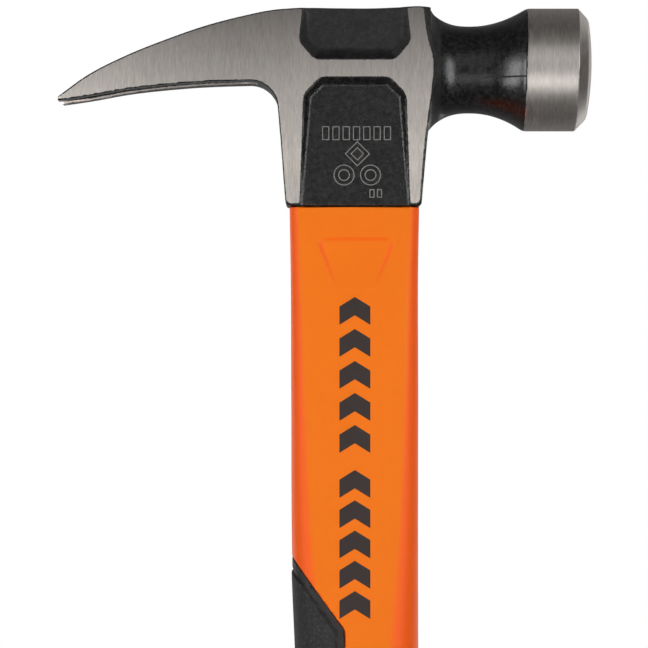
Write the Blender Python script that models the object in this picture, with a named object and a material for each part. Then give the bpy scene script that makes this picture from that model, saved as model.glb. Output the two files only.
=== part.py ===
"""Straight-claw hammer: forged steel head on a fibreglass core, with a two-part moulded handle.

Frame: +Z runs up the handle to the head and +X points towards the striking face. The origin is the
centre of the flat butt end. The script works in metres, and its dimensions are millimetres times MM.
"""

import math

import bmesh
import bpy

MM = 0.001
FIT_GAP = 0.3 * MM  # left between two pieces that touch on the real tool

# Head: the claw and the socket block are one slab, ground flat on both cheeks.
CHEEK_HALF = 12.8 * MM
HEAD_TOP = 334.0 * MM
HEAD_BOTTOM = 286.5 * MM
CLAW_TIP_X = -71.2 * MM
FORGING_HALF = CHEEK_HALF + 0.6 * MM  # before the cheeks are ground

# Neck and poll, turned about an axis along X.
POLL_AXIS_Z = 319.7 * MM
NECK_WAIST_X = 27.9 * MM
NECK_WAIST_R = 10.53 * MM
NECK_START_X = 13.0 * MM  # inside the socket block
NECK_START_R = 14.0 * MM
SHOULDER_X = 18.3 * MM  # where the neck flares into the block
SHOULDER_R = 14.15 * MM
SHOULDER_POWER = 2.6  # how sharply the neck's radius grows back towards the block
POLL_POWER = 2.05  # and forward towards the poll
GROUND_TO_X = 24.5 * MM  # the cheeks are ground flat from the claw to here
POLL_START_X = 41.2 * MM
POLL_R = 14.92 * MM
BEVEL_START_X = 53.6 * MM
FACE_EDGE_X = 56.4 * MM
FACE_EDGE_R = 11.8 * MM
FACE_CROWN_R = 75.0 * MM  # radius of the domed striking face
FACE_FLAT_R = 3.0 * MM
POLL_LEAN = 0.031  # the poll's rings lean back by this much per unit of height
TURNED_SEGMENTS = 40

# Eye: a tapered hole through the socket block, wider at the top so that the resin locks.
EYE_BOTTOM_HALF = (11.4 * MM, 7.2 * MM)
EYE_TOP_HALF = (12.6 * MM, 8.2 * MM)
EYE_CORNER = 4.5 * MM
SEAL_DEPTH = 3.1 * MM  # from the head's top down to the end of the core
SEAL_RECESS = 0.6 * MM

# Nail slot between the two tines.
SLOT_HALF_AT_TIP = 4.6 * MM
SLOT_HALF_AT_ROOT = 0.9 * MM
SLOT_ROOT_X = -28.0 * MM

# Core rod.
CORE_HALF = (10.0 * MM, 6.2 * MM)
CORE_CORNER = 4.0 * MM
CORE_BOTTOM = 40.0 * MM

# Handle: height, width towards the claw, width towards the face, half depth and corner radius.
HANDLE_STATIONS = (
    (0.0, 15.0, 17.6, 12.6, 9.0),
    (14.0, 16.6, 19.8, 13.9, 11.0),
    (36.0, 15.4, 16.8, 12.9, 10.5),
    (60.0, 15.8, 15.3, 13.0, 10.5),
    (90.0, 16.5, 15.9, 13.7, 11.0),
    (125.0, 15.6, 16.2, 13.6, 11.0),
    (165.0, 13.9, 15.5, 12.3, 9.0),
    (203.0, 15.1, 15.3, 11.5, 5.5),
    (240.0, 15.3, 15.3, 11.3, 4.0),
    (276.0, 15.5, 15.3, 11.4, 2.8),
    (286.2, 15.7, 15.5, 11.5, 2.5),
)
FACE_CROWN = 0.04  # how far the broad faces bulge, as a share of the half depth
GRIP_THICKNESS = 1.8 * MM
GRIP_PROUD = 0.25 * MM  # the grip stands this far out from the jacket and the butt cap
GRIP_TOP = 214.0 * MM
RING_STEP = 9.0 * MM  # spacing of the cross-sections along the handle
THROUGH = 30.0 * MM  # how far a cutter along Y reaches to each side

# Edge between the orange jacket and the black grip, seen along Y.
PANEL_LEFT_X = -2.4 * MM
PANEL_RIGHT_X = 6.4 * MM
PANEL_TIP_Z = 104.0 * MM
LEFT_EDGE = ((-22.0 * MM, 210.9 * MM), (PANEL_LEFT_X, 184.7 * MM))
RIGHT_EDGE = ((PANEL_RIGHT_X, 150.0 * MM), (22.0 * MM, 170.6 * MM))

# Butt cap and its tether hole.
CAP_TOP = 24.0 * MM
CAP_PEG_HALF = (7.0 * MM, 5.0 * MM)
CAP_PEG_CORNER = 3.0 * MM
CAP_PEG_TOP = 34.0 * MM
CAP_EDGE = 3.2 * MM  # rounding of the butt
TETHER_X = 3.0 * MM
TETHER_Z = 13.5 * MM
TETHER_R = 4.5 * MM
TETHER_SEGMENTS = 24


def clear_scene():
    """Remove whatever the file opened with."""
    for obj in list(bpy.data.objects):
        bpy.data.objects.remove(obj, do_unlink=True)


def make_material(name, color, roughness, metallic=0.0):
    """A Principled material."""
    material = bpy.data.materials.new(name)
    material.use_nodes = True
    shader = material.node_tree.nodes["Principled BSDF"]
    shader.inputs["Base Color"].default_value = (*color, 1.0)
    shader.inputs["Roughness"].default_value = roughness
    shader.inputs["Metallic"].default_value = metallic
    return material


def add_object(name, points, faces):
    """A mesh object with its faces turned outwards and its round parts shaded smooth."""
    mesh = bpy.data.meshes.new(name)
    mesh.from_pydata(points, [], faces)
    shape = bmesh.new()
    shape.from_mesh(mesh)
    bmesh.ops.recalc_face_normals(shape, faces=shape.faces)
    shape.to_mesh(mesh)
    shape.free()
    mesh.shade_smooth()
    mesh.set_sharp_from_angle(angle=math.radians(32))
    obj = bpy.data.objects.new(name, mesh)
    bpy.context.scene.collection.objects.link(obj)
    return obj


def loft(name, rings):
    """A closed solid through rings of points that all have the same count."""
    count = len(rings[0])
    points = [point for ring in rings for point in ring]
    faces = [tuple(range(count)), tuple(range(len(points) - count, len(points)))]
    for low in range(0, len(points) - count, count):
        for i in range(count):
            j = (i + 1) % count
            faces.append((low + i, low + j, low + count + j, low + count + i))
    return add_object(name, points, faces)


def prism_along_y(name, outline, y_low, y_high):
    """An (x, z) outline extruded along Y."""
    return loft(name, [[(x, y, z) for x, z in outline] for y in (y_low, y_high)])


def combine(obj, other, operation):
    """Boolean another solid into this one, and keep the other as a hidden guide."""
    modifier = obj.modifiers.new(f"{operation.lower()}_{other.name}", "BOOLEAN")
    modifier.operation = operation
    modifier.solver = "EXACT"
    modifier.object = other
    other.hide_render = True
    other.display_type = "WIRE"
    return obj


def smooth_curve(points, steps):
    """A Catmull-Rom curve through 2D points, with this many steps between neighbours."""
    ends = [points[0], *points, points[-1]]
    curve = []
    for before, start, end, after in zip(ends, ends[1:], ends[2:], ends[3:]):
        for step in range(steps):
            t = step / steps
            weights = (
                (2 * t**2 - t - t**3) / 2,
                (2 - 5 * t**2 + 3 * t**3) / 2,
                (t + 4 * t**2 - 3 * t**3) / 2,
                (t**3 - t**2) / 2,
            )
            corners = zip(before, start, end, after)
            curve.append(tuple(sum(w * v for w, v in zip(weights, values)) for values in corners))
    return [*curve, points[-1]]


def in_mm(*points):
    """Points given in millimetres, in metres."""
    return [tuple(value * MM for value in point) for point in points]


def slab_outline():
    """Side view of the claw and the socket block, from the claw's tip over the top and back."""
    over_claw = in_mm(
        (-71.2, 312.6), (-64.5, 317.4), (-54.9, 322.4), (-35.8, 329.5), (-20.7, 333.1), (-13.0, 333.8)
    )
    claw_top = smooth_curve(over_claw, 4)
    block = in_mm(
        (3.0, 333.75), (10.0, 334.0), (15.0, 334.25), (17.2, 334.1), (18.0, 333.1), (17.9, 307.0),
        (17.35, 302.1), (16.05, 288.0), (15.4, 286.5), (-16.0, 286.5), (-16.7, 288.0), (-17.8, 302.1),
    )
    throat = smooth_curve(in_mm((-18.4, 309.3), (-19.2, 313.0), (-21.4, 315.3), (-26.2, 316.5)), 3)
    under_claw = in_mm(
        (-26.2, 316.5), (-35.8, 316.2), (-45.3, 315.5), (-54.9, 314.4), (-64.5, 312.7), (-71.1, 311.7)
    )
    claw_under = smooth_curve(under_claw, 2)
    return claw_top + block + throat + claw_under[1:]


def turned_profile():
    """(x, radius) pairs of the neck and poll, from inside the block to the flat of the face."""
    profile = [(NECK_START_X, NECK_START_R)]
    for step in range(5):
        x = SHOULDER_X + (NECK_WAIST_X - SHOULDER_X) * step / 5
        rise = ((NECK_WAIST_X - x) / (NECK_WAIST_X - SHOULDER_X)) ** SHOULDER_POWER
        profile.append((x, NECK_WAIST_R + (SHOULDER_R - NECK_WAIST_R) * rise))
    for step in range(7):
        x = NECK_WAIST_X + (POLL_START_X - NECK_WAIST_X) * step / 6
        rise = ((x - NECK_WAIST_X) / (POLL_START_X - NECK_WAIST_X)) ** POLL_POWER
        profile.append((x, NECK_WAIST_R + (POLL_R - NECK_WAIST_R) * rise))
    profile.append((BEVEL_START_X, POLL_R))
    for radius in (FACE_EDGE_R, FACE_EDGE_R * 0.73, FACE_EDGE_R * 0.47, FACE_FLAT_R):
        rise = math.sqrt(FACE_CROWN_R**2 - radius**2) - math.sqrt(FACE_CROWN_R**2 - FACE_EDGE_R**2)
        profile.append((FACE_EDGE_X + rise, radius))
    return profile


def turned_ring(x, radius):
    """One ring about the poll's axis, leaning back once it is past the neck's waist."""
    lean = POLL_LEAN * min(max((x - NECK_WAIST_X) / (POLL_START_X - NECK_WAIST_X), 0.0), 1.0)
    ring = []
    for i in range(TURNED_SEGMENTS):
        angle = 2 * math.pi * (i + 0.5) / TURNED_SEGMENTS
        height = radius * math.sin(angle)
        ring.append((x + lean * height, radius * math.cos(angle), POLL_AXIS_Z + height))
    return ring


def rounded_box_ring(half_x, half_y, corner, z, steps=4):
    """A level rectangle with rounded corners, centred on the handle's axis."""
    ring = []
    for quarter, (sx, sy) in enumerate(((1, 1), (-1, 1), (-1, -1), (1, -1))):
        for step in range(steps + 1):
            angle = math.pi / 2 * (quarter + step / steps)
            x = sx * (half_x - corner) + corner * math.cos(angle)
            y = sy * (half_y - corner) + corner * math.sin(angle)
            ring.append((x, y, z))
    return ring


def eye_ring(z, inset=0.0):
    """Cross-section of the eye at a height, which widens evenly towards the top."""
    t = (z - HEAD_BOTTOM) / (HEAD_TOP - HEAD_BOTTOM)
    half_x, half_y = (low + (high - low) * t - inset for low, high in zip(EYE_BOTTOM_HALF, EYE_TOP_HALF))
    return rounded_box_ring(half_x, half_y, EYE_CORNER - inset, z)


def core_ring(z, inset=0.0):
    """Cross-section of the core rod at a height."""
    half_x, half_y = (half - inset for half in CORE_HALF)
    return rounded_box_ring(half_x, half_y, CORE_CORNER - inset, z)


def pocket_cutter(name, rim, floor, floor_depths, side):
    """A sloping-walled pocket in one cheek (side -1 or +1), drawn on past the cheek's plane."""
    outer = []
    inner = []
    for (rim_x, rim_z), (floor_x, floor_z), depth in zip(rim, floor, floor_depths):
        over = MM / depth  # carries the wall's slope on, 1 mm out past the cheek
        x = rim_x + (rim_x - floor_x) * over
        z = rim_z + (rim_z - floor_z) * over
        outer.append((x, side * (CHEEK_HALF + MM), z))
        inner.append((floor_x, side * (CHEEK_HALF - depth), floor_z))
    return loft(name, [outer, inner])


def head_pockets():
    """Cutters of the upper pocket, open at the top, and the lower one, open at the bottom."""
    upper_half = (
        # rim x, rim z, floor x, floor z, depth
        (9.5, 321.7, 8.8, 324.1, 2.4),
        (13.1, 325.8, 11.1, 326.8, 2.4),
        (13.0, 328.5, 11.3, 328.5, 1.8),
        (12.2, 336.0, 11.9, 336.0, 0.4),
    )
    lower_half = (
        (8.2, 317.1, 8.2, 315.3, 1.6),
        (12.1, 313.0, 10.7, 312.6, 1.5),
        (12.4, 302.0, 11.6, 302.0, 0.9),
        (13.1, 284.0, 12.9, 284.0, 0.25),
    )
    for name, half in (("upper_pocket", upper_half), ("lower_pocket", lower_half)):
        loop = [(1, *row) for row in half] + [(-1, *row) for row in reversed(half)]
        rim = [(sign * x * MM, z * MM) for sign, x, z, *_ in loop]
        floor = [(sign * x * MM, z * MM) for sign, _, _, x, z, _ in loop]
        depths = [row[-1] * MM for row in loop]
        for side in (-1, 1):
            yield pocket_cutter(f"{name}_{side + 1}", rim, floor, depths, side)


def nail_slot_cutter():
    """The tapering slot between the tines, round at its root."""
    outline = [(SLOT_ROOT_X, SLOT_HALF_AT_ROOT)]
    for step in range(1, 5):
        angle = math.pi / 2 - math.pi * step / 5
        x = SLOT_ROOT_X + SLOT_HALF_AT_ROOT * math.cos(angle)
        outline.append((x, SLOT_HALF_AT_ROOT * math.sin(angle)))
    outline.append((SLOT_ROOT_X, -SLOT_HALF_AT_ROOT))
    past_tip = CLAW_TIP_X - 6.0 * MM
    widening = (SLOT_HALF_AT_TIP - SLOT_HALF_AT_ROOT) / (SLOT_ROOT_X - CLAW_TIP_X)
    half = SLOT_HALF_AT_ROOT + widening * (SLOT_ROOT_X - past_tip)
    outline += [(past_tip, -half), (past_tip, half)]
    heights = (HEAD_BOTTOM, HEAD_TOP + 5.0 * MM)
    return loft("nail_slot", [[(x, y, z) for x, y in outline] for z in heights])


def build_head():
    """The forging: slab and turned neck together, then ground cheeks, pockets, eye and slot."""
    head = prism_along_y("head", slab_outline(), -FORGING_HALF, FORGING_HALF)
    neck = loft("neck_and_poll", [turned_ring(x, radius) for x, radius in turned_profile()])
    combine(head, neck, "UNION")
    back, low, high = CLAW_TIP_X - 10.0 * MM, HEAD_BOTTOM - 5.0 * MM, HEAD_TOP + 5.0 * MM
    grinding_box = [(back, low), (GROUND_TO_X, low), (GROUND_TO_X, high), (back, high)]
    for side in (-1, 1):
        near, far = sorted((side * CHEEK_HALF, side * (CHEEK_HALF + 8.0 * MM)))
        combine(head, prism_along_y(f"cheek_grind_{side + 1}", grinding_box, near, far), "DIFFERENCE")
    for cutter in head_pockets():
        combine(head, cutter, "DIFFERENCE")
    eye = loft("eye_cut", [eye_ring(z) for z in (HEAD_BOTTOM - 2.0 * MM, HEAD_TOP + 2.0 * MM)])
    combine(head, eye, "DIFFERENCE")
    combine(head, nail_slot_cutter(), "DIFFERENCE")
    return head


def build_core():
    """The pultruded rod that runs from the butt up into the eye."""
    return loft("handle_core", [core_ring(z) for z in (CORE_BOTTOM, HEAD_TOP - SEAL_DEPTH)])


def build_epoxy():
    """The resin that fills the eye around the core."""
    low = HEAD_BOTTOM + 0.1 * MM
    high = HEAD_TOP - SEAL_DEPTH
    epoxy = loft("eye_epoxy", [eye_ring(z, FIT_GAP) for z in (low, high)])
    bore = loft("epoxy_bore", [core_ring(z, -FIT_GAP) for z in (low - MM, high + MM)])
    return combine(epoxy, bore, "DIFFERENCE")


def build_eye_seal():
    """The cap that closes the top of the eye."""
    low = HEAD_TOP - SEAL_DEPTH + FIT_GAP
    high = HEAD_TOP - SEAL_RECESS
    return loft("eye_seal", [eye_ring(z, FIT_GAP) for z in (low, high)])


def handle_size(z):
    """Widths towards claw and face, half depth and corner radius at a height, smoothly blended."""
    height = z / MM
    for low, high in zip(HANDLE_STATIONS, HANDLE_STATIONS[1:]):
        if height <= high[0]:
            break
    t = min(max((height - low[0]) / (high[0] - low[0]), 0.0), 1.0)
    t = t * t * (3 - 2 * t)
    return [(a + (b - a) * t) * MM for a, b in zip(low[1:], high[1:])]


def handle_ring(z, inset=0.0, steps=5):
    """Cross-section of the moulded handle, drawn in by an inset."""
    to_claw, to_face, depth, corner = handle_size(z)
    to_claw -= inset
    to_face -= inset
    depth -= inset
    corner = max(corner - inset, 1.0 * MM)
    ring = []
    for quarter, (sx, sy) in enumerate(((1, 1), (-1, 1), (-1, -1), (1, -1))):
        wide = to_face if sx > 0 else to_claw
        for step in range(steps + 1):
            angle = math.pi / 2 * (quarter + step / steps)
            x = sx * (wide - corner) + corner * math.cos(angle)
            y = sy * (depth - corner) + corner * math.sin(angle)
            ring.append((x, y, z))
        if quarter in (0, 2):  # the middle of each broad face
            ring.append((0.0, sy * depth, z))
    crowned = []
    for x, y, z in ring:
        across = x / (to_face if x > 0 else to_claw)
        crowned.append((x, y * (1 + FACE_CROWN * (1 - across**2)), z))
    return crowned


def handle_rings(low, high, inset=0.0):
    """Evenly spaced cross-sections of the handle between two heights."""
    count = max(2, round((high - low) / RING_STEP) + 1)
    return [handle_ring(low + (high - low) * i / (count - 1), inset) for i in range(count)]


def panel_outline(grow=0.0):
    """Side view of the region where the jacket shows, drawn out by a small margin."""
    left_x = PANEL_LEFT_X - grow
    right_x = PANEL_RIGHT_X + grow
    radius = (right_x - left_x) / 2
    tip_z = PANEL_TIP_Z - grow + radius
    slant = grow * 1.26  # how far a slanted edge drops when it moves out by the margin
    turn = grow * 0.4  # and how far its corner with an upright edge drops
    outline = [(x, z - slant) for x, z in LEFT_EDGE]
    outline[-1] = (left_x, LEFT_EDGE[-1][1] - turn)
    for step in range(7):
        angle = math.pi + math.pi * step / 6
        outline.append((left_x + radius + radius * math.cos(angle), tip_z + radius * math.sin(angle)))
    outline += [(right_x, RIGHT_EDGE[0][1] - turn), (RIGHT_EDGE[1][0], RIGHT_EDGE[1][1] - slant)]
    return outline + [(RIGHT_EDGE[1][0], HEAD_TOP), (LEFT_EDGE[0][0], HEAD_TOP)]


def build_jacket():
    """The hard jacket over the core: full size where it shows, thinner under the grip."""
    low = CAP_TOP + FIT_GAP
    high = HEAD_BOTTOM - FIT_GAP
    jacket = loft("handle_jacket", handle_rings(PANEL_TIP_Z - 12.0 * MM, high))
    panel = prism_along_y("jacket_panel", panel_outline(), -THROUGH, THROUGH)
    combine(jacket, panel, "INTERSECT")
    under = loft("jacket_under_grip", handle_rings(low, high - 20.0 * MM, GRIP_THICKNESS + FIT_GAP))
    combine(jacket, under, "UNION")
    bore = loft("jacket_bore", [core_ring(z, -FIT_GAP) for z in (CORE_BOTTOM - FIT_GAP, high + MM)])
    combine(jacket, bore, "DIFFERENCE")
    peg_half = [half + FIT_GAP for half in CAP_PEG_HALF]
    socket_heights = (low - MM, CAP_PEG_TOP + FIT_GAP)
    socket_rings = [rounded_box_ring(*peg_half, CAP_PEG_CORNER + FIT_GAP, z) for z in socket_heights]
    socket = loft("peg_socket", socket_rings)
    return combine(jacket, socket, "DIFFERENCE")


def build_grip():
    """The soft grip moulded round the lower handle, open where the jacket shows through."""
    low = CAP_TOP + FIT_GAP
    grip = loft("grip", handle_rings(low, GRIP_TOP, -GRIP_PROUD))
    inner = handle_rings(low, GRIP_TOP, GRIP_THICKNESS)
    ends = [[(x, y, z + shift) for x, y, z in ring] for ring, shift in ((inner[0], -MM), (inner[-1], MM))]
    combine(grip, loft("grip_bore", [ends[0], *inner[1:-1], ends[1]]), "DIFFERENCE")
    window = prism_along_y("grip_window", panel_outline(FIT_GAP), -THROUGH, THROUGH)
    return combine(grip, window, "DIFFERENCE")


def build_butt_cap():
    """The moulded end with a flat butt, a peg up into the jacket and a tether hole."""
    chamfer = CAP_EDGE * 0.3
    rings = [handle_ring(0.0, CAP_EDGE), handle_ring(chamfer, chamfer * 1.1), handle_ring(CAP_EDGE)]
    rings += handle_rings(CAP_EDGE + RING_STEP / 2, CAP_TOP)
    cap = loft("butt_cap", rings)
    peg_heights = (CAP_TOP - 4.0 * MM, CAP_PEG_TOP)
    peg_rings = [rounded_box_ring(*CAP_PEG_HALF, CAP_PEG_CORNER, z) for z in peg_heights]
    combine(cap, loft("cap_peg", peg_rings), "UNION")
    circle = []
    for i in range(TETHER_SEGMENTS):
        angle = 2 * math.pi * i / TETHER_SEGMENTS
        circle.append((TETHER_X + TETHER_R * math.cos(angle), TETHER_Z + TETHER_R * math.sin(angle)))
    return combine(cap, prism_along_y("tether_hole", circle, -THROUGH, THROUGH), "DIFFERENCE")


def main():
    """Build every piece of the hammer in place."""
    clear_scene()
    pieces = (
        (build_head(), make_material("forged_steel", (0.32, 0.31, 0.30), 0.38, 1.0)),
        (build_core(), make_material("fibreglass", (0.62, 0.55, 0.36), 0.5)),
        (build_epoxy(), make_material("epoxy", (0.10, 0.09, 0.08), 0.35)),
        (build_eye_seal(), make_material("seal_plastic", (0.02, 0.02, 0.02), 0.45)),
        (build_jacket(), make_material("orange_jacket", (0.90, 0.19, 0.015), 0.42)),
        (build_grip(), make_material("black_grip", (0.03, 0.03, 0.03), 0.7)),
        (build_butt_cap(), make_material("black_cap", (0.035, 0.035, 0.035), 0.55)),
    )
    for obj, material in pieces:
        obj.data.materials.append(material)


main()
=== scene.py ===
"""Visual model of the claw hammer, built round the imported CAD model.

The head and the moulded handle are sculpted as distance fields: each field function below gives, for
points in millimetres, the signed distance to a surface (negative inside), and mesh_field() turns it
into a closed mesh. Rounded edges and fillets are part of the fields. Everything else is in metres.
"""

import math

import bmesh
import bpy
import numpy as np
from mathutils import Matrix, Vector


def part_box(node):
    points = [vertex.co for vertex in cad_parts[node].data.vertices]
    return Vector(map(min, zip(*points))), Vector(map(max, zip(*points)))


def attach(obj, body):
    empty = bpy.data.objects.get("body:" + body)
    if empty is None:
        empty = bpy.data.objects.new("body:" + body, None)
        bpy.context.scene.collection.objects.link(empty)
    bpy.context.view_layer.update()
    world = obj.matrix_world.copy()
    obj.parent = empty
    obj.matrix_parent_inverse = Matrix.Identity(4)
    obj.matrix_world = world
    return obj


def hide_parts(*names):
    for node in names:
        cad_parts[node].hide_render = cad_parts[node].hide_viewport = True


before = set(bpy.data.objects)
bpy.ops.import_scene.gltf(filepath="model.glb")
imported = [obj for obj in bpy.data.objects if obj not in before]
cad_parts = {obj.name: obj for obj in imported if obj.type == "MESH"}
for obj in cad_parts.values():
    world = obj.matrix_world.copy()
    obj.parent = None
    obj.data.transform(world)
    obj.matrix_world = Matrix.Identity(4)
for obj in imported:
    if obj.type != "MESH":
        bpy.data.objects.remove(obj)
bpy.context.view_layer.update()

MM = 0.001
FIT_GAP = 0.3  # left between two pieces that touch on the real tool

# Head, in millimetres.
CHEEK_HALF = 12.8
SEAL_RECESS = 0.6
SEAL_BOTTOM = 2.8  # below the head's top
HEAD_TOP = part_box("eye_seal")[1].z / MM + SEAL_RECESS
HEAD_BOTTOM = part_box("head")[0].z / MM
CLAW_TIP_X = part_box("head")[0].x / MM + 0.01
POLL_AXIS_Z = 319.7
NECK_WAIST_X = 27.9
NECK_WAIST_R = 10.53
SHOULDER_X = 18.3
SHOULDER_R = 14.15
POLL_START_X = 41.2
POLL_R = 14.87
POLISH_START_X = 41.3  # the poll is ground bright from here to the face
POLL_LEAN = 0.031  # the poll's rings lean back by this much per unit of height
BEVEL_START_X = 53.7
FACE_APEX_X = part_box("head")[1].x / MM - 0.02
FACE_APEX_Z = 319.2
FACE_CROWN_R = 72.0
THROAT_R = 6.4  # where the claw's underside turns down into the socket block
TIP_GROUND = 1.2  # length of the ground tip of the claw

# Handle, in millimetres: height, width towards the claw and the face, half depth and corner radius.
HANDLE_STATIONS = (
    (0.0, 15.0, 17.6, 12.6, 9.0),
    (14.0, 16.6, 19.8, 13.9, 11.0),
    (36.0, 15.4, 16.8, 12.9, 10.5),
    (60.0, 15.8, 15.3, 13.0, 10.5),
    (90.0, 16.5, 15.9, 13.7, 11.0),
    (125.0, 15.6, 16.2, 13.6, 11.0),
    (165.0, 13.9, 15.5, 12.3, 9.0),
    (203.0, 15.1, 15.3, 11.5, 5.5),
    (240.0, 15.3, 15.3, 11.3, 4.0),
    (276.0, 15.5, 15.3, 11.4, 2.8),
    (286.2, 15.7, 15.5, 11.5, 2.5),
)
FACE_CROWN = 0.04  # how much deeper the middle of a broad face is than its edges
GRIP_THICKNESS = 1.8
GRIP_PROUD = 0.25
GRIP_RIM = 1.9  # the smooth band along the jacket, closed off by a groove
JACKET_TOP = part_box("handle_jacket")[1].z / MM
JACKET_CORE_TOP = 220.0  # the thinner jacket under the grip reaches up to here
CAP_TOP = 24.0
SEAM_GAP = 0.12  # the fine gap left between the moulded pieces

# Edge between the jacket and the grip, seen along Y.
PANEL_LEFT_X = -2.4
PANEL_RIGHT_X = 6.4
PANEL_TIP_Z = 104.0
PANEL_LEFT_Z = 184.7  # where the left edge turns from slanted to upright
PANEL_RIGHT_Z = 150.0

TETHER = (3.0, 13.5, 4.5)  # x, z and radius of the tether hole
SLOT_EDGE = 0.5  # height of the bright edge along the underside of the nail slot
SLOT_ROOT_X = -28.0
SLOT_ROOT_HALF = 0.9


# ---------------------------------------------------------------------------------------------
# Distance fields
# ---------------------------------------------------------------------------------------------


def smooth_table(points, samples=400):
    """A smooth function through (t, value) points, as dense arrays for np.interp."""
    t, value = (np.array(column, float) for column in zip(*points))
    slope = np.gradient(value, t)
    dense = np.linspace(t[0], t[-1], samples)
    i = np.clip(np.searchsorted(t, dense, side="right") - 1, 0, len(t) - 2)
    step = t[i + 1] - t[i]
    u = (dense - t[i]) / step
    return dense, (
        value[i] * (1 + 2 * u) * (1 - u) ** 2
        + value[i + 1] * u**2 * (3 - 2 * u)
        + step * u * (1 - u) * (slope[i] * (1 - u) - slope[i + 1] * u)
    )


class Curve:
    """A smooth curve through (t, value) points, with its slope."""

    def __init__(self, points):
        self.t, self.values = smooth_table(points)
        self.slopes = np.gradient(self.values, self.t)

    def __call__(self, t):
        return np.interp(t, self.t, self.values)

    def slope(self, t):
        return np.interp(t, self.t, self.slopes)

    def above(self, t, height):
        """Signed distance of a point above the curve."""
        return (height - self(t)) / np.sqrt(1 + self.slope(t) ** 2)


def both(a, b, radius):
    """Intersection of two fields, with its edge rounded."""
    u = np.maximum(a + radius, 0)
    v = np.maximum(b + radius, 0)
    return np.minimum(np.maximum(a, b), -radius) + np.hypot(u, v)


def either(a, b, radius):
    """Union of two fields, with a fillet in the corner between them."""
    return -both(-a, -b, radius)


def without(a, b, radius):
    """The first field with the second cut away."""
    return both(a, -b, radius)


def rounded_box(across, deep, corner):
    """Distance to a rectangle with rounded corners, from the distances past its corners' centres."""
    outside = np.hypot(np.maximum(across, 0), np.maximum(deep, 0))
    return outside + np.minimum(np.maximum(across, deep), 0) - corner


def soft_least(a, b, width):
    """The lesser of two values, with the change between them eased over a width."""
    ease = np.maximum(width - np.abs(a - b), 0) / width
    return np.minimum(a, b) - ease**2 * width / 4


CLAW_TOP = Curve(
    (
        (-71.2, 312.6), (-64.5, 317.45), (-54.9, 322.4), (-45.3, 326.27), (-35.8, 329.57), (-26.2, 332.06),
        (-20.7, 333.2), (-13.0, 333.85), (-4.0, 333.8), (3.0, 333.75), (10.0, 334.0), (15.0, 334.25),
        (19.0, 334.2), (23.0, 335.5), (34.0, 352.0),
    )
)
CLAW_UNDER = Curve(
    (
        (-71.2, 311.7), (-64.5, 312.7), (-54.9, 314.4), (-45.3, 315.5), (-35.8, 316.2), (-26.2, 316.5),
        (20.0, 316.6),
    )
)
BLOCK_LEFT = Curve(((284.0, -16.3), (288.0, -16.7), (302.1, -17.8), (309.0, -18.4), (340.0, -20.8)))
BLOCK_RIGHT = Curve(((284.0, 15.75), (288.0, 16.1), (302.1, 17.35), (307.0, 17.85), (340.0, 18.2)))
GROUND_RIGHT = Curve(  # how far the bare steel of a cheek reaches towards the neck
    (
        (284.0, 15.55), (288.0, 15.8), (302.1, 16.95), (308.0, 17.7), (314.0, 18.5), (318.0, 18.95),
        (321.5, 18.95), (327.3, 17.5), (333.7, 16.7), (340.0, 16.0),
    )
)


def neck_radius():
    """Radius of the neck and poll along X."""
    points = [(8.0, 14.0), (15.0, 14.05)]
    for x in np.linspace(SHOULDER_X, NECK_WAIST_X, 8):
        rise = ((NECK_WAIST_X - x) / (NECK_WAIST_X - SHOULDER_X)) ** 2.6
        points.append((x, NECK_WAIST_R + (SHOULDER_R - NECK_WAIST_R) * rise))
    for x in np.linspace(NECK_WAIST_X, POLL_START_X + 2.0, 34)[1:]:
        rise = ((x - NECK_WAIST_X) / (POLL_START_X - NECK_WAIST_X)) ** 2.05
        radius = NECK_WAIST_R + (POLL_R - NECK_WAIST_R) * rise
        points.append((x, float(soft_least(radius, POLL_R, 0.5))))
    return Curve([*points, (62.0, POLL_R)])


NECK = neck_radius()


def poll_x(x, z):
    """Distance along the neck and poll, measured in rings that lean back past the waist."""
    ramp = np.clip((x - NECK_WAIST_X) / (POLL_START_X - NECK_WAIST_X), 0, 1)
    return x - POLL_LEAN * ramp * (z - POLL_AXIS_Z)


def neck_and_poll(x, y, z):
    """The turned neck, poll, bevel and domed face."""
    along = poll_x(x, z)
    radius = np.hypot(y, z - POLL_AXIS_Z)
    body = NECK.above(along, radius)
    bevel = (along - BEVEL_START_X) * 0.73 + (radius - POLL_R) * 0.68
    crown = np.hypot(along - (FACE_APEX_X - FACE_CROWN_R), np.hypot(y, z - FACE_APEX_Z)) - FACE_CROWN_R
    face = both(bevel, crown, 0.4)
    return both(both(body, face, 0.1), 10.0 - x, 0.3)


def pockets(x, z):
    """Outlines of a cheek's upper and lower pocket, seen along Y: negative inside."""
    side = np.abs(x)
    upper = both(side - 13.13 + (z - 326.8) * 0.11, 321.7 - z, 0.3)
    upper = both(upper, (side - 13.13) * 0.749 - (z - 325.8) * 0.663, 0.6)
    lower = both(side - 12.15 - (313.0 - z) * 0.033, z - 317.15, 0.3)
    lower = both(lower, (side - 12.15) * 0.716 + (z - 313.1) * 0.698, 0.6)
    return upper, lower


def pocket_depth(x, z):
    """How far the cheek is sunk at a point, by the upper and the lower pocket."""
    upper, lower = pockets(x, z)
    upper_floor = 2.4 - (z - 325.0) * 0.2
    lower_floor = 0.25 + (z - 286.5) * 0.047
    sunk = np.maximum(soft_least(-upper, upper_floor, 0.7), soft_least(-lower, lower_floor, 0.5))
    return np.maximum(sunk, 0)


def eye(x, y, z):
    """The tapered hole through the socket block."""
    t = (z - HEAD_BOTTOM) / (HEAD_TOP - HEAD_BOTTOM)
    corner = 4.5
    across = np.abs(x) - (11.4 + 1.2 * t - corner)
    deep = np.abs(y) - (7.2 + 1.0 * t - corner)
    return rounded_box(across, deep, corner)


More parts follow.
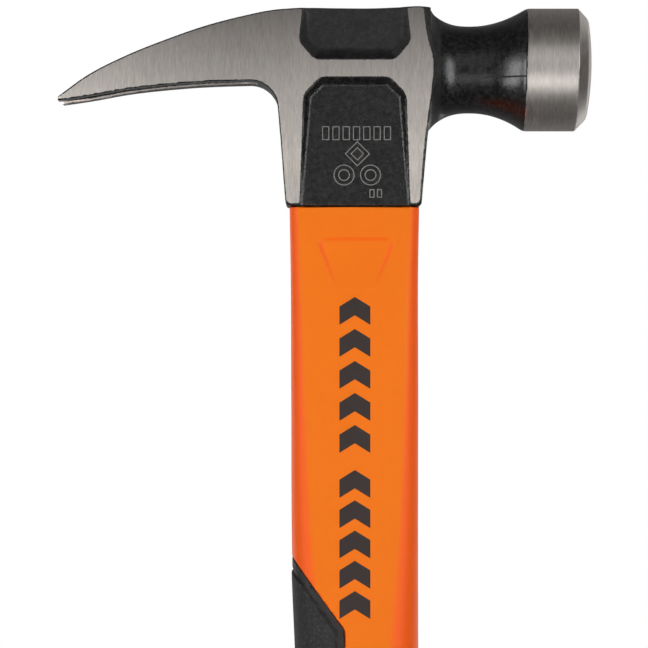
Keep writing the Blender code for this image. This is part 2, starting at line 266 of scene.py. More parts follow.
def nail_slot(x, y, z):
    """The tapering slot between the tines, bevelled widely below and a little above."""
    half = SLOT_ROOT_HALF + (SLOT_ROOT_X - np.minimum(x, SLOT_ROOT_X)) * 0.0857
    bevel = np.clip((CLAW_TOP(x) - CLAW_UNDER(x)) * 0.4, 0.2, 2.0)
    lift = CLAW_UNDER.above(x, z)
    half = half + np.clip(bevel - np.maximum(lift, SLOT_EDGE), 0, bevel) * 2.2
    half = half + np.clip(SLOT_EDGE - lift, 0, SLOT_EDGE) * 0.4
    half = half + np.clip(1.0 + CLAW_TOP.above(x, z), 0, 1.0) * 0.6
    return np.hypot(np.maximum(x - SLOT_ROOT_X, 0), y) - half


def head_field(x, y, z):
    """The whole forging."""
    below = either(-CLAW_UNDER.above(x, z), BLOCK_LEFT(z) - x, THROAT_R)
    block = both(below, x - BLOCK_RIGHT(z), 0.8)
    block = both(block, HEAD_BOTTOM - z, 0.7)
    block = both(block, CLAW_TIP_X - x, 0.2)
    shoulder = np.maximum(x - GROUND_RIGHT(z), 0) * 0.8
    ground_tip = np.maximum(CLAW_TIP_X + TIP_GROUND - x, 0) * 0.12
    block = both(block, np.abs(y) - CHEEK_HALF + shoulder + ground_tip, 0.02)
    solid = either(block, neck_and_poll(x, y, z), 1.2)
    solid = both(solid, CLAW_TOP.above(x, z), 0.3)
    cheek = np.abs(y) - (CHEEK_HALF + np.maximum(x - 23.0, 0) - pocket_depth(x, z))
    solid = both(solid, cheek, 0.3)
    solid = without(solid, eye(x, y, z), 0.4)
    return without(solid, nail_slot(x, y, z), 0.2)


def bare_steel(x, y, z):
    """Where the forging is ground bright: negative on the cheeks, in the nail slot and at the tip."""
    below = either(0.17 - CLAW_UNDER.above(x, z), BLOCK_LEFT(z) - x + 0.3, THROAT_R)
    outline = both(below, HEAD_BOTTOM + 0.55 - z, 0.9)
    outline = both(outline, x - GROUND_RIGHT(z) + 0.22, 0.9)
    outline = np.maximum(outline, CLAW_TOP.above(x, z) + 0.3)
    upper, lower = pockets(x, z)
    cheek = np.maximum(outline, -np.minimum(upper, lower) + 0.28)
    cheek = np.maximum(cheek, CHEEK_HALF - 0.45 - np.abs(y))
    slot = np.maximum(np.abs(nail_slot(x, y, z)) - 0.15, CLAW_UNDER.above(x, z) - SLOT_EDGE)
    tip = x - (CLAW_TIP_X + TIP_GROUND)
    return np.minimum(np.minimum(cheek, slot), tip)


def handle_tables():
    """Smooth curves of the handle's four sizes along its height."""
    heights = [row[0] for row in HANDLE_STATIONS]
    return [Curve(list(zip(heights, column))) for column in list(zip(*HANDLE_STATIONS))[1:]]


TO_CLAW, TO_FACE, DEPTH, CORNER = handle_tables()


def handle_field(x, y, z):
    """Outer surface of the moulded handle, endless up and down."""
    to_claw, to_face, depth, corner = TO_CLAW(z), TO_FACE(z), DEPTH(z), CORNER(z)
    middle = (to_face - to_claw) / 2
    half = (to_face + to_claw) / 2
    bulge = 1 + FACE_CROWN * (1 - np.minimum((x - middle) / half, 1) ** 2)
    across = np.abs(x - middle) - (half - corner)
    deep = np.abs(y) / bulge - (depth - corner)
    return rounded_box(across, deep, corner)


def panel_edge(x, y, z):
    """The distance from the jacket's edge, for the grip's material."""
    return panel_field(x, z)


def panel_field(x, z):
    """The region where the jacket shows, seen along Y: the upper handle and a tongue down the grip."""
    middle = (PANEL_LEFT_X + PANEL_RIGHT_X) / 2
    half = (PANEL_RIGHT_X - PANEL_LEFT_X) / 2
    below_round = np.maximum(PANEL_TIP_Z + half - z, 0)
    tongue = np.hypot(x - middle, below_round) - half
    slant_left = (PANEL_LEFT_X - x) * 0.809 + (PANEL_LEFT_Z - z) * 0.588
    slant_right = (x - PANEL_RIGHT_X) * 0.768 + (PANEL_RIGHT_Z - z) * 0.640
    upper_left = np.maximum(slant_left, x - middle)
    upper_right = np.maximum(slant_right, middle - x)
    return either(np.minimum(upper_left, upper_right), tongue, 0.6)


def trapezoid_recess(x, z):
    """Depth of the shallow moulded recess below the head, deepest along its top edge."""
    middle, top, bottom = 0.25, 279.0, 266.8
    half = 10.0 - (top - z) * 0.43
    shape = both(np.abs(x - middle) - half, z - top, 3.0)
    floor = 0.65 * np.clip((z - bottom) / (top - bottom), 0, 1) ** 0.5
    return np.maximum(soft_least(-shape * 0.5, floor, 0.25), 0)


def jacket_field(x, y, z):
    """The hard jacket: full size where it shows, thinner under the grip."""
    full = handle_field(x, y, z)
    shown = both(full, panel_field(x, z), 0.25)
    under = both(full + GRIP_THICKNESS + SEAM_GAP, z - JACKET_CORE_TOP, 0.3)
    solid = np.minimum(shown, under)
    solid = both(solid, z - JACKET_TOP, 0.4)
    solid = both(solid, CAP_TOP + SEAM_GAP - z, 0.2)
    return solid + trapezoid_recess(x, z) * (np.abs(y) > 5.0)


def grip_field(x, y, z):
    """The soft grip: a smooth rim along the jacket, a groove, and a field that stands just proud."""
    full = handle_field(x, y, z)
    edge = panel_field(x, z)
    proud = GRIP_PROUD * np.clip((edge - GRIP_RIM) / 0.6, 0, 1)
    groove = 0.35 * np.maximum(1 - np.abs(edge - GRIP_RIM) / 0.45, 0)
    outside = full - proud + groove
    shell = both(outside, -(full + GRIP_THICKNESS), 0.3)
    shell = both(shell, SEAM_GAP - edge, 0.2)
    return both(shell, CAP_TOP + SEAM_GAP - z, 0.3)


def cap_field(x, y, z):
    """The butt cap with its rounded end and tether hole."""
    body = both(handle_field(x, y, z), -z, 3.0)
    body = both(body, z - CAP_TOP, 0.4)
    hole_x, hole_z, radius = TETHER
    return without(body, np.hypot(x - hole_x, z - hole_z) - radius, 0.9)


def seal_field(x, y, z):
    """The seal in the top of the eye."""
    body = both(eye(x, y, z) + FIT_GAP, z - (HEAD_TOP - SEAL_RECESS), 0.5)
    return both(body, (HEAD_TOP - SEAL_BOTTOM) - z, 0.2)


# ---------------------------------------------------------------------------------------------
# Meshing
# ---------------------------------------------------------------------------------------------


CREASE_COS = math.cos(math.radians(12))  # normals further apart than this are split
CREASE_SPREAD = 0.975  # length of the mean normal round a point that is beside a crease
CREASE_HOLD = 0.08  # holds a point in place along a crease


def cell_vertices(values, axes):
    """One vertex in each grid cell that the surface crosses, at the mean of its edge crossings."""
    total = np.zeros((3, *(n - 1 for n in values.shape)), np.float32)
    count = np.zeros(total.shape[1:], np.float32)
    grids = np.meshgrid(*axes, indexing="ij", sparse=True)
    for axis in range(3):
        low = np.take(values, range(values.shape[axis] - 1), axis)
        high = np.take(values, range(1, values.shape[axis]), axis)
        crossing = (low < 0) != (high < 0)
        share = np.where(crossing, low / np.where(crossing, low - high, 1), 0)
        places = []
        for other in range(3):
            grid = grids[other]
            if other == axis:
                start = np.take(grid, range(grid.shape[axis] - 1), axis)
                places.append(start + share * (axes[axis][1] - axes[axis][0]))
            else:
                places.append(grid + 0 * share)
        b, c = (other for other in range(3) if other != axis)
        for shift_b in (0, 1):
            for shift_c in (0, 1):
                part = [slice(None)] * 3
                part[b] = slice(shift_b, values.shape[b] - 1 + shift_b)
                part[c] = slice(shift_c, values.shape[c] - 1 + shift_c)
                mask = crossing[tuple(part)]
                count += mask
                for k in range(3):
                    total[k] += np.where(mask, places[k][tuple(part)], 0)
    used = count > 0
    return used, (total[:, used] / count[used]).T.astype(float)


def cell_quads(values, index):
    """A quad across each grid edge that the surface crosses, wound so that it faces outwards."""
    quads = []
    for axis in range(3):
        b, c = (axis + 1) % 3, (axis + 2) % 3
        inner = [slice(None)] * 3
        inner[b] = slice(1, -1)
        inner[c] = slice(1, -1)
        inside = values[tuple(inner)] < 0
        low = np.take(inside, range(inside.shape[axis] - 1), axis)
        high = np.take(inside, range(1, inside.shape[axis]), axis)
        for mask, order in ((low & ~high, 1), (~low & high, -1)):
            place = np.array(np.nonzero(mask))
            corners = []
            for shift_b, shift_c in ((0, 0), (1, 0), (1, 1), (0, 1)):
                cell = place.copy()
                cell[b] += shift_b
                cell[c] += shift_c
                corners.append(index[tuple(cell)])
            quads.append(np.stack(corners[::order], 1))
    return np.concatenate(quads)


def gradient_of(field, points, reach=0.02):
    """The field's gradient at points, by central differences."""
    gradient = np.empty_like(points)
    for k in range(3):
        ahead, back = points.copy(), points.copy()
        ahead[:, k] += reach
        back[:, k] -= reach
        gradient[:, k] = (field(*ahead.T) - field(*back.T)) / (2 * reach)
    return gradient


def settle(points, field, steps=4):
    """Move points onto the field's surface along its gradient."""
    for _ in range(steps):
        gradient = gradient_of(field, points)
        size = np.maximum((gradient**2).sum(1), 0.25)
        points = points - 0.9 * (field(*points.T) / size)[:, None] * gradient
    return points


def at_corners(points, quads, field):
    """The surface beside each corner of each quad, taken well inside it: a point on it, and its normal."""
    corners = points[quads]
    inside = ((corners + 2 * corners.mean(1, keepdims=True)) / 3).reshape(-1, 3)
    gradient = gradient_of(field, inside)
    size = np.maximum(np.linalg.norm(gradient, axis=1)[:, None], 1e-6)
    return inside - field(*inside.T)[:, None] * gradient / size**2, gradient / size


def snap_to_creases(points, quads, field, reach):
    """Move the points beside a crease onto it, to where the planes of the quads round them meet."""
    touch, normals = at_corners(points, quads, field)
    place = quads.ravel()
    offset = (normals * (touch - points[place])).sum(1)

    def gather(weights):
        return np.bincount(place, weights, len(points))

    count = gather(np.ones(len(place)))
    mean = np.stack([gather(normals[:, i]) for i in range(3)], 1) / count[:, None]
    pull = np.stack([gather(normals[:, i] * offset) for i in range(3)], 1)
    planes = np.empty((len(points), 3, 3))
    for i in range(3):
        for j in range(3):
            planes[:, i, j] = gather(normals[:, i] * normals[:, j]) + (i == j) * CREASE_HOLD
    shift = np.linalg.solve(planes, pull[:, :, None])[:, :, 0]
    shift *= np.minimum(1, reach / np.maximum(np.linalg.norm(shift, axis=1), 1e-6))[:, None]
    creased = np.linalg.norm(mean, axis=1) < CREASE_SPREAD
    return points + shift * creased[:, None]


def loop_normals(points, quads, field):
    """Normals for the corners of the quads: smooth over the surface, but split along its creases."""
    smooth = gradient_of(field, points)
    smooth = (smooth / np.linalg.norm(smooth, axis=1)[:, None])[quads.ravel()]
    own = at_corners(points, quads, field)[1]
    split = (smooth * own).sum(1) < CREASE_COS
    return np.where(split[:, None], own, smooth)


def mesh_field(name, field, low, high, cell, origin=(0.0, 0.0, 0.0), marks=()):
    """A smooth closed mesh of a field, between two corners in millimetres.

    Each mark is a (name, field) pair, whose values the mesh keeps for its material to read.
    """
    axes = [np.arange(a - 2 * cell, b + 3 * cell, cell) for a, b in zip(low, high)]
    grids = np.meshgrid(*axes, indexing="ij", sparse=True)
    values = field(*grids).astype(np.float32)
    used, points = cell_vertices(values, axes)
    index = np.full(used.shape, -1)
    index[used] = np.arange(len(points))
    quads = cell_quads(values, index)
    points = snap_to_creases(settle(points, field), quads, field, cell * 0.7)
    normals = loop_normals(points, quads, field)
    values = [(mark, mark_field(*points.T)) for mark, mark_field in marks]
    points = points * MM - np.array(origin)
    mesh = bpy.data.meshes.new(name)
    mesh.vertices.add(len(points))
    mesh.vertices.foreach_set("co", points.astype(np.float32).ravel())
    mesh.loops.add(quads.size)
    mesh.loops.foreach_set("vertex_index", quads.astype(np.int32).ravel())
    mesh.polygons.add(len(quads))
    mesh.polygons.foreach_set("loop_start", np.arange(0, quads.size, 4, dtype=np.int32))
    mesh.update(calc_edges=True)
    mesh.shade_smooth()
    mesh.normals_split_custom_set(normals)
    for mark, value in values:
        layer = mesh.attributes.new(mark, "FLOAT", "POINT")
        layer.data.foreach_set("value", value.astype(np.float32))
    obj = bpy.data.objects.new(name, mesh)
    obj.location = origin
    bpy.context.scene.collection.objects.link(obj)
    return obj


def stroke(outline, width):
    """Quads that draw a line of some width round a closed (x, z) outline."""
    points = np.array(outline, float)
    ahead = np.roll(points, -1, axis=0) - points
    ahead /= np.linalg.norm(ahead, axis=1)[:, None]
    across = np.stack([ahead[:, 1], -ahead[:, 0]], 1)
    mitre = across + np.roll(across, 1, axis=0)
    mitre *= (width / (mitre**2).sum(1))[:, None]
    inner, outer = points - mitre, points + mitre
    return [(inner[i - 1], outer[i - 1], outer[i], inner[i]) for i in range(len(points))]


def mesh_plates(name, shapes, surface, proud, sunk=0.3):
    """Thin closed plates just proud of a surface that faces -Y, one for each (x, z) outline."""
    points, faces = [], []
    for shape in shapes:
        first, count = len(points), len(shape)
        for lift in (proud, -sunk):
            points += [(x * MM, (surface(x, z) - lift) * MM, z * MM) for x, z in shape]
        faces.append([first + i for i in range(count)])
        faces.append([first + count + i for i in range(count)])
        for i in range(count):
            j = (i + 1) % count
            faces.append([first + i, first + j, first + count + j, first + count + i])
    mesh = bpy.data.meshes.new(name)
    mesh.from_pydata(points, [], faces)
    shape = bmesh.new()
    shape.from_mesh(mesh)
    bmesh.ops.recalc_face_normals(shape, faces=shape.faces)
    shape.to_mesh(mesh)
    shape.free()
    obj = bpy.data.objects.new(name, mesh)
    bpy.context.scene.collection.objects.link(obj)
    return obj


# ---------------------------------------------------------------------------------------------
# Materials
# ---------------------------------------------------------------------------------------------


class Nodes:
    """A short way to write a material's nodes."""

    def __init__(self, name):
        self.material = bpy.data.materials.new(name)
        self.material.use_nodes = True
        self.tree = self.material.node_tree
        self.shader = self.tree.nodes["Principled BSDF"]
        texture = self.tree.nodes.new("ShaderNodeTexCoord")
        self.coords = texture.outputs["Object"]
        self.normal = texture.outputs["Normal"]

    def link(self, source, socket):
        if isinstance(source, (int, float)):
            socket.default_value = source
        elif isinstance(source, tuple):
            opaque = (1.0,) if len(source) == 3 and len(socket.default_value) == 4 else ()
            socket.default_value = (*source, *opaque)
        else:
            self.tree.links.new(source, socket)

    def math(self, operation, *values, clamp=False):
        node = self.tree.nodes.new("ShaderNodeMath")
        node.operation = operation
        node.use_clamp = clamp
        for value, socket in zip(values, node.inputs):
            self.link(value, socket)
        return node.outputs[0]

    def parts(self, vector):
        """The x, y and z of a vector."""
        node = self.tree.nodes.new("ShaderNodeSeparateXYZ")
        self.link(vector, node.inputs[0])
        return node.outputs

    def mark(self, name):
        """A value that the mesh keeps at each vertex."""
        node = self.tree.nodes.new("ShaderNodeAttribute")
        node.attribute_name = name
        return node.outputs["Fac"]

    def stretched(self, scale):
        """Coordinates multiplied by a scale along each axis."""
        node = self.tree.nodes.new("ShaderNodeMapping")
        self.link(self.coords, node.inputs["Vector"])
        node.inputs["Scale"].default_value = scale
        return node.outputs[0]

    def noise(self, scale, detail=3.0, roughness=0.55, vector=None):
        node = self.tree.nodes.new("ShaderNodeTexNoise")
        self.link(vector if vector is not None else self.coords, node.inputs["Vector"])
        node.inputs["Scale"].default_value = scale
        node.inputs["Detail"].default_value = detail
        node.inputs["Roughness"].default_value = roughness
        return node.outputs["Fac"]

    def ramp(self, factor, low, high, to_low=0.0, to_high=1.0, smooth=False):
        """Rescale a value from one range to another, clamped."""
        node = self.tree.nodes.new("ShaderNodeMapRange")
        node.interpolation_type = "SMOOTHSTEP" if smooth else "LINEAR"
        names = ("Value", "From Min", "From Max", "To Min", "To Max")
        for value, name in zip((factor, low, high, to_low, to_high), names):
            self.link(value, node.inputs[name])
        return node.outputs[0]

    def mix(self, factor, a, b):
        """Blend two colours."""
        node = self.tree.nodes.new("ShaderNodeMix")
        node.data_type = "RGBA"
        self.link(factor, node.inputs["Factor"])
        self.link(a, node.inputs[6])
        self.link(b, node.inputs[7])
        return node.outputs[2]

    def blend(self, factor, a, b):
        """Blend two values."""
        node = self.tree.nodes.new("ShaderNodeMix")
        for value, socket in zip((factor, a, b), (node.inputs[0], node.inputs[2], node.inputs[3])):
            self.link(value, socket)
        return node.outputs[0]

    def scaled(self, color, factor):
        """A colour times a value."""
        node = self.tree.nodes.new("ShaderNodeVectorMath")
        node.operation = "SCALE"
        self.link(color, node.inputs[0])
        self.link(factor, node.inputs["Scale"])
        return node.outputs[0]

    def bump(self, height, distance, strength=1.0, normal=None):
        node = self.tree.nodes.new("ShaderNodeBump")
        node.inputs["Distance"].default_value = distance
        self.link(strength, node.inputs["Strength"])
        self.link(height, node.inputs["Height"])
        if normal is not None:
            self.link(normal, node.inputs["Normal"])
        return node.outputs[0]

    def set(self, **sockets):
        """Set or link the shader's sockets, named with underscores for spaces."""
        for name, value in sockets.items():
            self.link(value, self.shader.inputs[name.replace("_", " ")])
        return self.material


HEAD_ORIGIN = (0.0, 0.0, POLL_AXIS_Z * MM)


def head_material():
    """Ground steel on the cheeks and poll, and a satin black coat on the rest of the forging; the cheeks'
    steel carries painted light and shade, and the bevel's steel painted shade.
    """
    n = Nodes("forged_steel_head")
    x, y, z = n.parts(n.coords)
    ragged = n.ramp(n.noise(2600.0, 2.0), 0.35, 0.65, -0.07, 0.07)
    on_cheek = n.ramp(n.math("ADD", n.mark("bare"), ragged), -0.02, 0.02, 1.0, 0.0)
    inside = n.math("LESS_THAN", n.math("MAXIMUM", n.math("ABSOLUTE", y), n.math("ADD", x, 0.030)), 0.010)
    facing = n.ramp(n.math("ABSOLUTE", n.parts(n.normal)[1]), 0.93, 0.97)
    on_cheek = n.math("MULTIPLY", on_cheek, n.math("MAXIMUM", facing, inside))
    along = n.math("SUBTRACT", x, n.math("MULTIPLY", z, POLL_LEAN))
    wobble = n.ramp(n.noise(300.0, 2.0), 0.3, 0.7, -0.00012, 0.00012)
    on_poll = n.math("GREATER_THAN", n.math("ADD", along, wobble), POLISH_START_X * MM)
    bright = n.math("MAXIMUM", on_cheek, on_poll)

    streaks = n.noise(1.0, 3.0, 0.6, n.stretched((5500.0, 420.0, 420.0)))
    broad = n.noise(1.0, 2.0, 0.5, n.stretched((900.0, 60.0, 60.0)))
    clouds = n.noise(60.0, 2.0)
    shade = n.math("ADD", n.ramp(streaks, 0.3, 0.7, 0.83, 1.17), n.ramp(broad, 0.3, 0.7, -0.04, 0.04))
    shade = n.math("ADD", shade, n.ramp(clouds, 0.3, 0.7, -0.03, 0.03))
    # Painted light and shade on the cheeks' steel: darker towards the top of the head, lighter towards the
    # claw's tip and a little lighter in the nail slot.
    painted_shading = n.math("ADD", n.ramp(z, -0.020, -0.007, 0.19, 0.0), n.ramp(z, -0.007, 0.013, 0.91, 0.40))
    painted_shading = n.math("MULTIPLY", painted_shading, n.ramp(x, -0.068, -0.035, 1.30, 1.0))
    painted_shading = n.math("MULTIPLY", painted_shading, n.ramp(inside, 0.0, 1.0, 1.0, 1.05))
    shade = n.math("MULTIPLY", shade, n.math("MULTIPLY_ADD", on_cheek, n.math("SUBTRACT", painted_shading, 1.0), 1.0))
    on_bevel = n.math("GREATER_THAN", along, (BEVEL_START_X - 0.2) * MM)
    tint = n.mix(n.ramp(n.noise(150.0, 2.0), 0.35, 0.65), (0.645, 0.605, 0.555), (0.635, 0.590, 0.565))
    # The bevel's steel is painted darker, as painted shade.
    steel = n.scaled(tint, n.math("MULTIPLY", shade, n.ramp(on_bevel, 0.0, 1.0, 1.0, 0.7)))

    mottle = n.noise(900.0, 4.0, 0.65)
    specks = n.ramp(n.noise(2300.0, 2.0), 0.58, 0.74)
    coat = n.mix(n.ramp(mottle, 0.42, 0.72), (0.004, 0.004, 0.004), (0.019, 0.0186, 0.0182))
    coat = n.mix(n.math("MULTIPLY", specks, 0.5), coat, (0.045, 0.044, 0.042))
    color = n.mix(bright, coat, steel)

    rougher = n.math("MAXIMUM", n.math("MULTIPLY", on_bevel, 0.13), n.math("MULTIPLY", on_cheek, 0.22))
    steel_rough = n.math("ADD", n.ramp(streaks, 0.25, 0.75, 0.30, 0.42), rougher)
    scuffs = n.ramp(n.noise(160.0, 4.0, 0.7), 0.40, 0.62)
    coat_rough = n.blend(scuffs, n.ramp(mottle, 0.3, 0.7, 0.18, 0.25), n.ramp(mottle, 0.3, 0.7, 0.26, 0.40))
    in_block = n.ramp(x, 0.016, 0.022, 1.0, 0.0)
    from_shoulder = n.math("ABSOLUTE", n.math("SUBTRACT", x, 0.0193))
    parting = n.math("ABSOLUTE", n.math("ADD", n.math("ADD", z, 0.0023), wobble))
    parting = n.math("MULTIPLY", n.ramp(parting, 0.00012, 0.00028, 1.0, 0.0), n.ramp(x, 0.030, 0.034))
    at_shoulder = n.ramp(from_shoulder, 0.0006, 0.0016, 0.5, 0.0)
    dull = n.math("MAXIMUM", at_shoulder, n.math("MULTIPLY", parting, 0.5))
    dull = n.math("MAXIMUM", dull, n.ramp(n.math("MULTIPLY", in_block, z), 0.001, 0.004, 0.0, 0.35))
    coat_rough = n.math("ADD", coat_rough, dull)
    grain = n.bump(streaks, 0.00004, n.math("MULTIPLY", bright, 0.3))
    dark = n.math("SUBTRACT", 1.0, bright)
    pebble_depth = n.math("MULTIPLY", dark, n.ramp(in_block, 0.0, 1.0, 0.12, 0.7))
    tangent = n.tree.nodes.new("ShaderNodeTangent")
    tangent.direction_type = "RADIAL"
    tangent.axis = "X"
    n.link(tangent.outputs[0], n.shader.inputs["Tangent"])
    return n.set(
        Base_Color=color,
        Metallic=bright,
        Roughness=n.blend(bright, coat_rough, steel_rough),
        Normal=n.bump(mottle, 0.00025, pebble_depth, grain),
        Anisotropic=0.5,
        Specular_IOR_Level=0.45,
    )


def jacket_material():
    """Hard orange plastic, with painted shade: a deeper, redder orange where its surface turns away from the
    broad faces, reaching further round the corners lower down.
    """
    n = Nodes("orange_jacket")
    height = n.parts(n.coords)[2]
    # Painted shade, set by how far the surface normal turns aside; the band reaches further round lower
    # down.
    least, most = n.ramp(height, 0.195, 0.265, 0.035, 0.17), n.ramp(height, 0.195, 0.265, 0.32, 0.50)
    normal_x, _, normal_z = n.parts(n.normal)
    aside = n.math("MAXIMUM", n.math("ABSOLUTE", normal_x), n.math("MULTIPLY", normal_z, -0.75))
    painted_edge_shade = n.ramp(aside, least, most, 0.0, 1.0, smooth=True)
    clouds = n.ramp(n.noise(45.0, 3.0), 0.35, 0.65)
    grain = n.noise(1800.0, 3.0, 0.6)
    face = n.mix(clouds, ORANGE, ORANGE_DARK)
    return n.set(
        Base_Color=n.mix(painted_edge_shade, face, ORANGE_PAINTED_SHADE),
        Roughness=n.ramp(grain, 0.3, 0.7, 0.42, 0.54),
        Specular_IOR_Level=0.14,
        Sheen_Weight=0.1,
        Sheen_Tint=(1.0, 0.35, 0.12),
        Normal=n.bump(grain, 0.0001, 0.25),
    )


def plastic_material(name, color, darker, roughness, grain_scale, grain_depth, grain_strength):
    """A moulded plastic with a fine grain and slight unevenness of colour."""
    n = Nodes(name)
    clouds = n.noise(45.0, 3.0)
    grain = n.noise(grain_scale, 3.0, 0.6)
    tint = n.mix(n.ramp(clouds, 0.35, 0.65, 0.0, 1.0), color, darker)
    rough = n.ramp(grain, 0.3, 0.7, roughness - 0.05, roughness + 0.06)
    normal = n.bump(grain, grain_depth, grain_strength)
    return n.set(Base_Color=tint, Roughness=rough, Specular_IOR_Level=0.35, Normal=normal)


def grip_material():
    """Soft black elastomer: pebbled over the field of the grip, smoother on its rim."""
    n = Nodes("soft_black_grip")
    field = n.ramp(n.mark("edge"), GRIP_RIM, GRIP_RIM + 0.4)
    pebble = n.noise(1300.0, 4.0, 0.6)
    specks = n.ramp(n.noise(1100.0, 2.0), 0.62, 0.74)
    tint = n.mix(n.ramp(pebble, 0.35, 0.7), (0.015, 0.015, 0.015), (0.040, 0.039, 0.039))
    tint = n.mix(n.math("MULTIPLY", specks, 0.4), tint, (0.11, 0.11, 0.105))
    rim = n.mix(n.ramp(pebble, 0.3, 0.7), (0.019, 0.017, 0.016), (0.032, 0.028, 0.026))
    rim = n.mix(n.math("MULTIPLY", specks, 0.25), rim, (0.10, 0.10, 0.09))
    return n.set(
        Base_Color=n.mix(field, rim, tint),
        Roughness=n.blend(field, 0.62, n.ramp(pebble, 0.3, 0.7, 0.62, 0.85)),
        Specular_IOR_Level=0.3,
        Normal=n.bump(pebble, 0.0002, n.ramp(field, 0.0, 1.0, 0.1, 0.6)),
    )


# ---------------------------------------------------------------------------------------------
# Pieces
# ---------------------------------------------------------------------------------------------


def node_range(node, margin=0.6):
    """A CAD node's lowest and highest corners in millimetres, drawn out by a margin."""
    low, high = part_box(node)
    return [value / MM - margin for value in low], [value / MM + margin for value in high]


def place(piece, node, slot, material):
    """Put a finished piece in for its CAD node, or add it to the object where there is none."""
    piece.data.materials.append(material)
    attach(piece, "root")
    if node:
        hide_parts(node)


def jacket_front(x, z):
    """Depth of the jacket's near face."""
    middle, half = (TO_FACE(z) - TO_CLAW(z)) / 2, (TO_FACE(z) + TO_CLAW(z)) / 2
    return -DEPTH(z) * (1 + FACE_CROWN * (1 - ((x - middle) / half) ** 2))


def pocket_front(x, z):
    """Depth of the near cheek's pockets."""
    return -(CHEEK_HALF - float(pocket_depth(x, z)))


def chevrons(lowest, highest, count=5, half=3.7, rise=2.3, height=6.7):
    """A column of equal chevrons between two heights."""
    shoulder = height - rise
    shape = ((-half, 0.0), (0.0, rise), (half, 0.0), (half, shoulder), (0.0, height), (-half, shoulder))
    for base in np.linspace(lowest, highest - height, count):
        yield [(x, base + z) for x, z in shape]


def polygon(x, z, radius, sides, turn=0.0):
    """Corners of a regular polygon."""
    angles = [turn + 2 * math.pi * i / sides for i in range(sides)]
    return [(x + radius * math.cos(angle), z + radius * math.sin(angle)) for angle in angles]


def engraved_marks(line=0.2):
    """Lines of plain figures: a row of boxes, two nested diamonds, two pairs of rings and two boxes."""
    shapes = []
    for x in np.linspace(-7.0, 7.8, 7):
        box = ((x - 0.75, 302.3), (x + 0.75, 302.3), (x + 0.75, 305.4), (x - 0.75, 305.4))
        shapes += stroke(box, line)
    shapes += stroke(polygon(0.6, 298.9, 2.9, 4), line)
    shapes += stroke(polygon(0.6, 298.9, 1.5, 4), line)
    for x in (-2.6, 3.75):
        shapes += stroke(polygon(x, 293.8, 2.4, 28), line)
        shapes += stroke(polygon(x, 293.8, 1.3, 20), line)
    for x in (4.1, 5.9):
        shapes += stroke(((x - 0.5, 288.5), (x + 0.5, 288.5), (x + 0.5, 290.3), (x - 0.5, 290.3)), line)
    return shapes


ORANGE = (0.875, 0.180, 0.0055)
ORANGE_DARK = (0.865, 0.173, 0.0055)
# Painted shade: the redder orange used where the jacket's surface turns aside.
ORANGE_PAINTED_SHADE = (0.95, 0.120, 0.010)

head = mesh_field("head_forging", head_field, *node_range("head"), 0.45, HEAD_ORIGIN, [("bare", bare_steel)])
place(head, "head", "forged_steel", head_material())

jacket = mesh_field("jacket_moulding", jacket_field, *node_range("handle_jacket"), 0.65)
place(jacket, "handle_jacket", "orange_jacket", jacket_material())

grip = mesh_field("grip_moulding", grip_field, *node_range("grip"), 0.6, marks=[("edge", panel_edge)])
place(grip, "grip", "black_grip", grip_material())

cap = mesh_field("butt_cap_moulding", cap_field, *node_range("butt_cap"), 0.6)
place(cap, "butt_cap", "black_cap",
      plastic_material("black_cap", (0.030, 0.030, 0.030), (0.022, 0.022, 0.022), 0.6, 1600.0, 0.0002, 0.4))

seal = mesh_field("eye_seal_moulding", seal_field, *node_range("eye_seal"), 0.4)
place(seal, "eye_seal", "seal_plastic",
      plastic_material("seal_plastic", (0.016, 0.016, 0.017), (0.024, 0.023, 0.022),
                       0.45, 1500.0, 0.0002, 0.4))

ink = mesh_plates("jacket_print", [*chevrons(187.4, 223.1), *chevrons(227.2, 264.6)], jacket_front, 0.05)
place(ink, None, "black_cap",
      plastic_material("print_ink", (0.030, 0.019, 0.017), (0.024, 0.016, 0.014), 0.6, 1500.0, 0.0001, 0.3))

etching = mesh_plates("cheek_engraving", engraved_marks(), pocket_front, 0.03)
place(etching, None, "forged_steel",
      plastic_material("engraved_steel", (0.24, 0.23, 0.22), (0.17, 0.165, 0.16), 0.55, 2200.0, 0.0001, 0.3))

INNER = (
    ("handle_core", (0.55, 0.47, 0.28), (0.48, 0.40, 0.22), 0.5),
    ("eye_epoxy", (0.09, 0.08, 0.07), (0.06, 0.055, 0.05), 0.3),
)
for node, color, darker, roughness in INNER:
    material = plastic_material(node, color, darker, roughness, 700.0, 0.0002, 0.3)
    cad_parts[node].data.materials.clear()
    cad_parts[node].data.materials.append(material)


# ---------------------------------------------------------------------------------------------
# Stage
# ---------------------------------------------------------------------------------------------


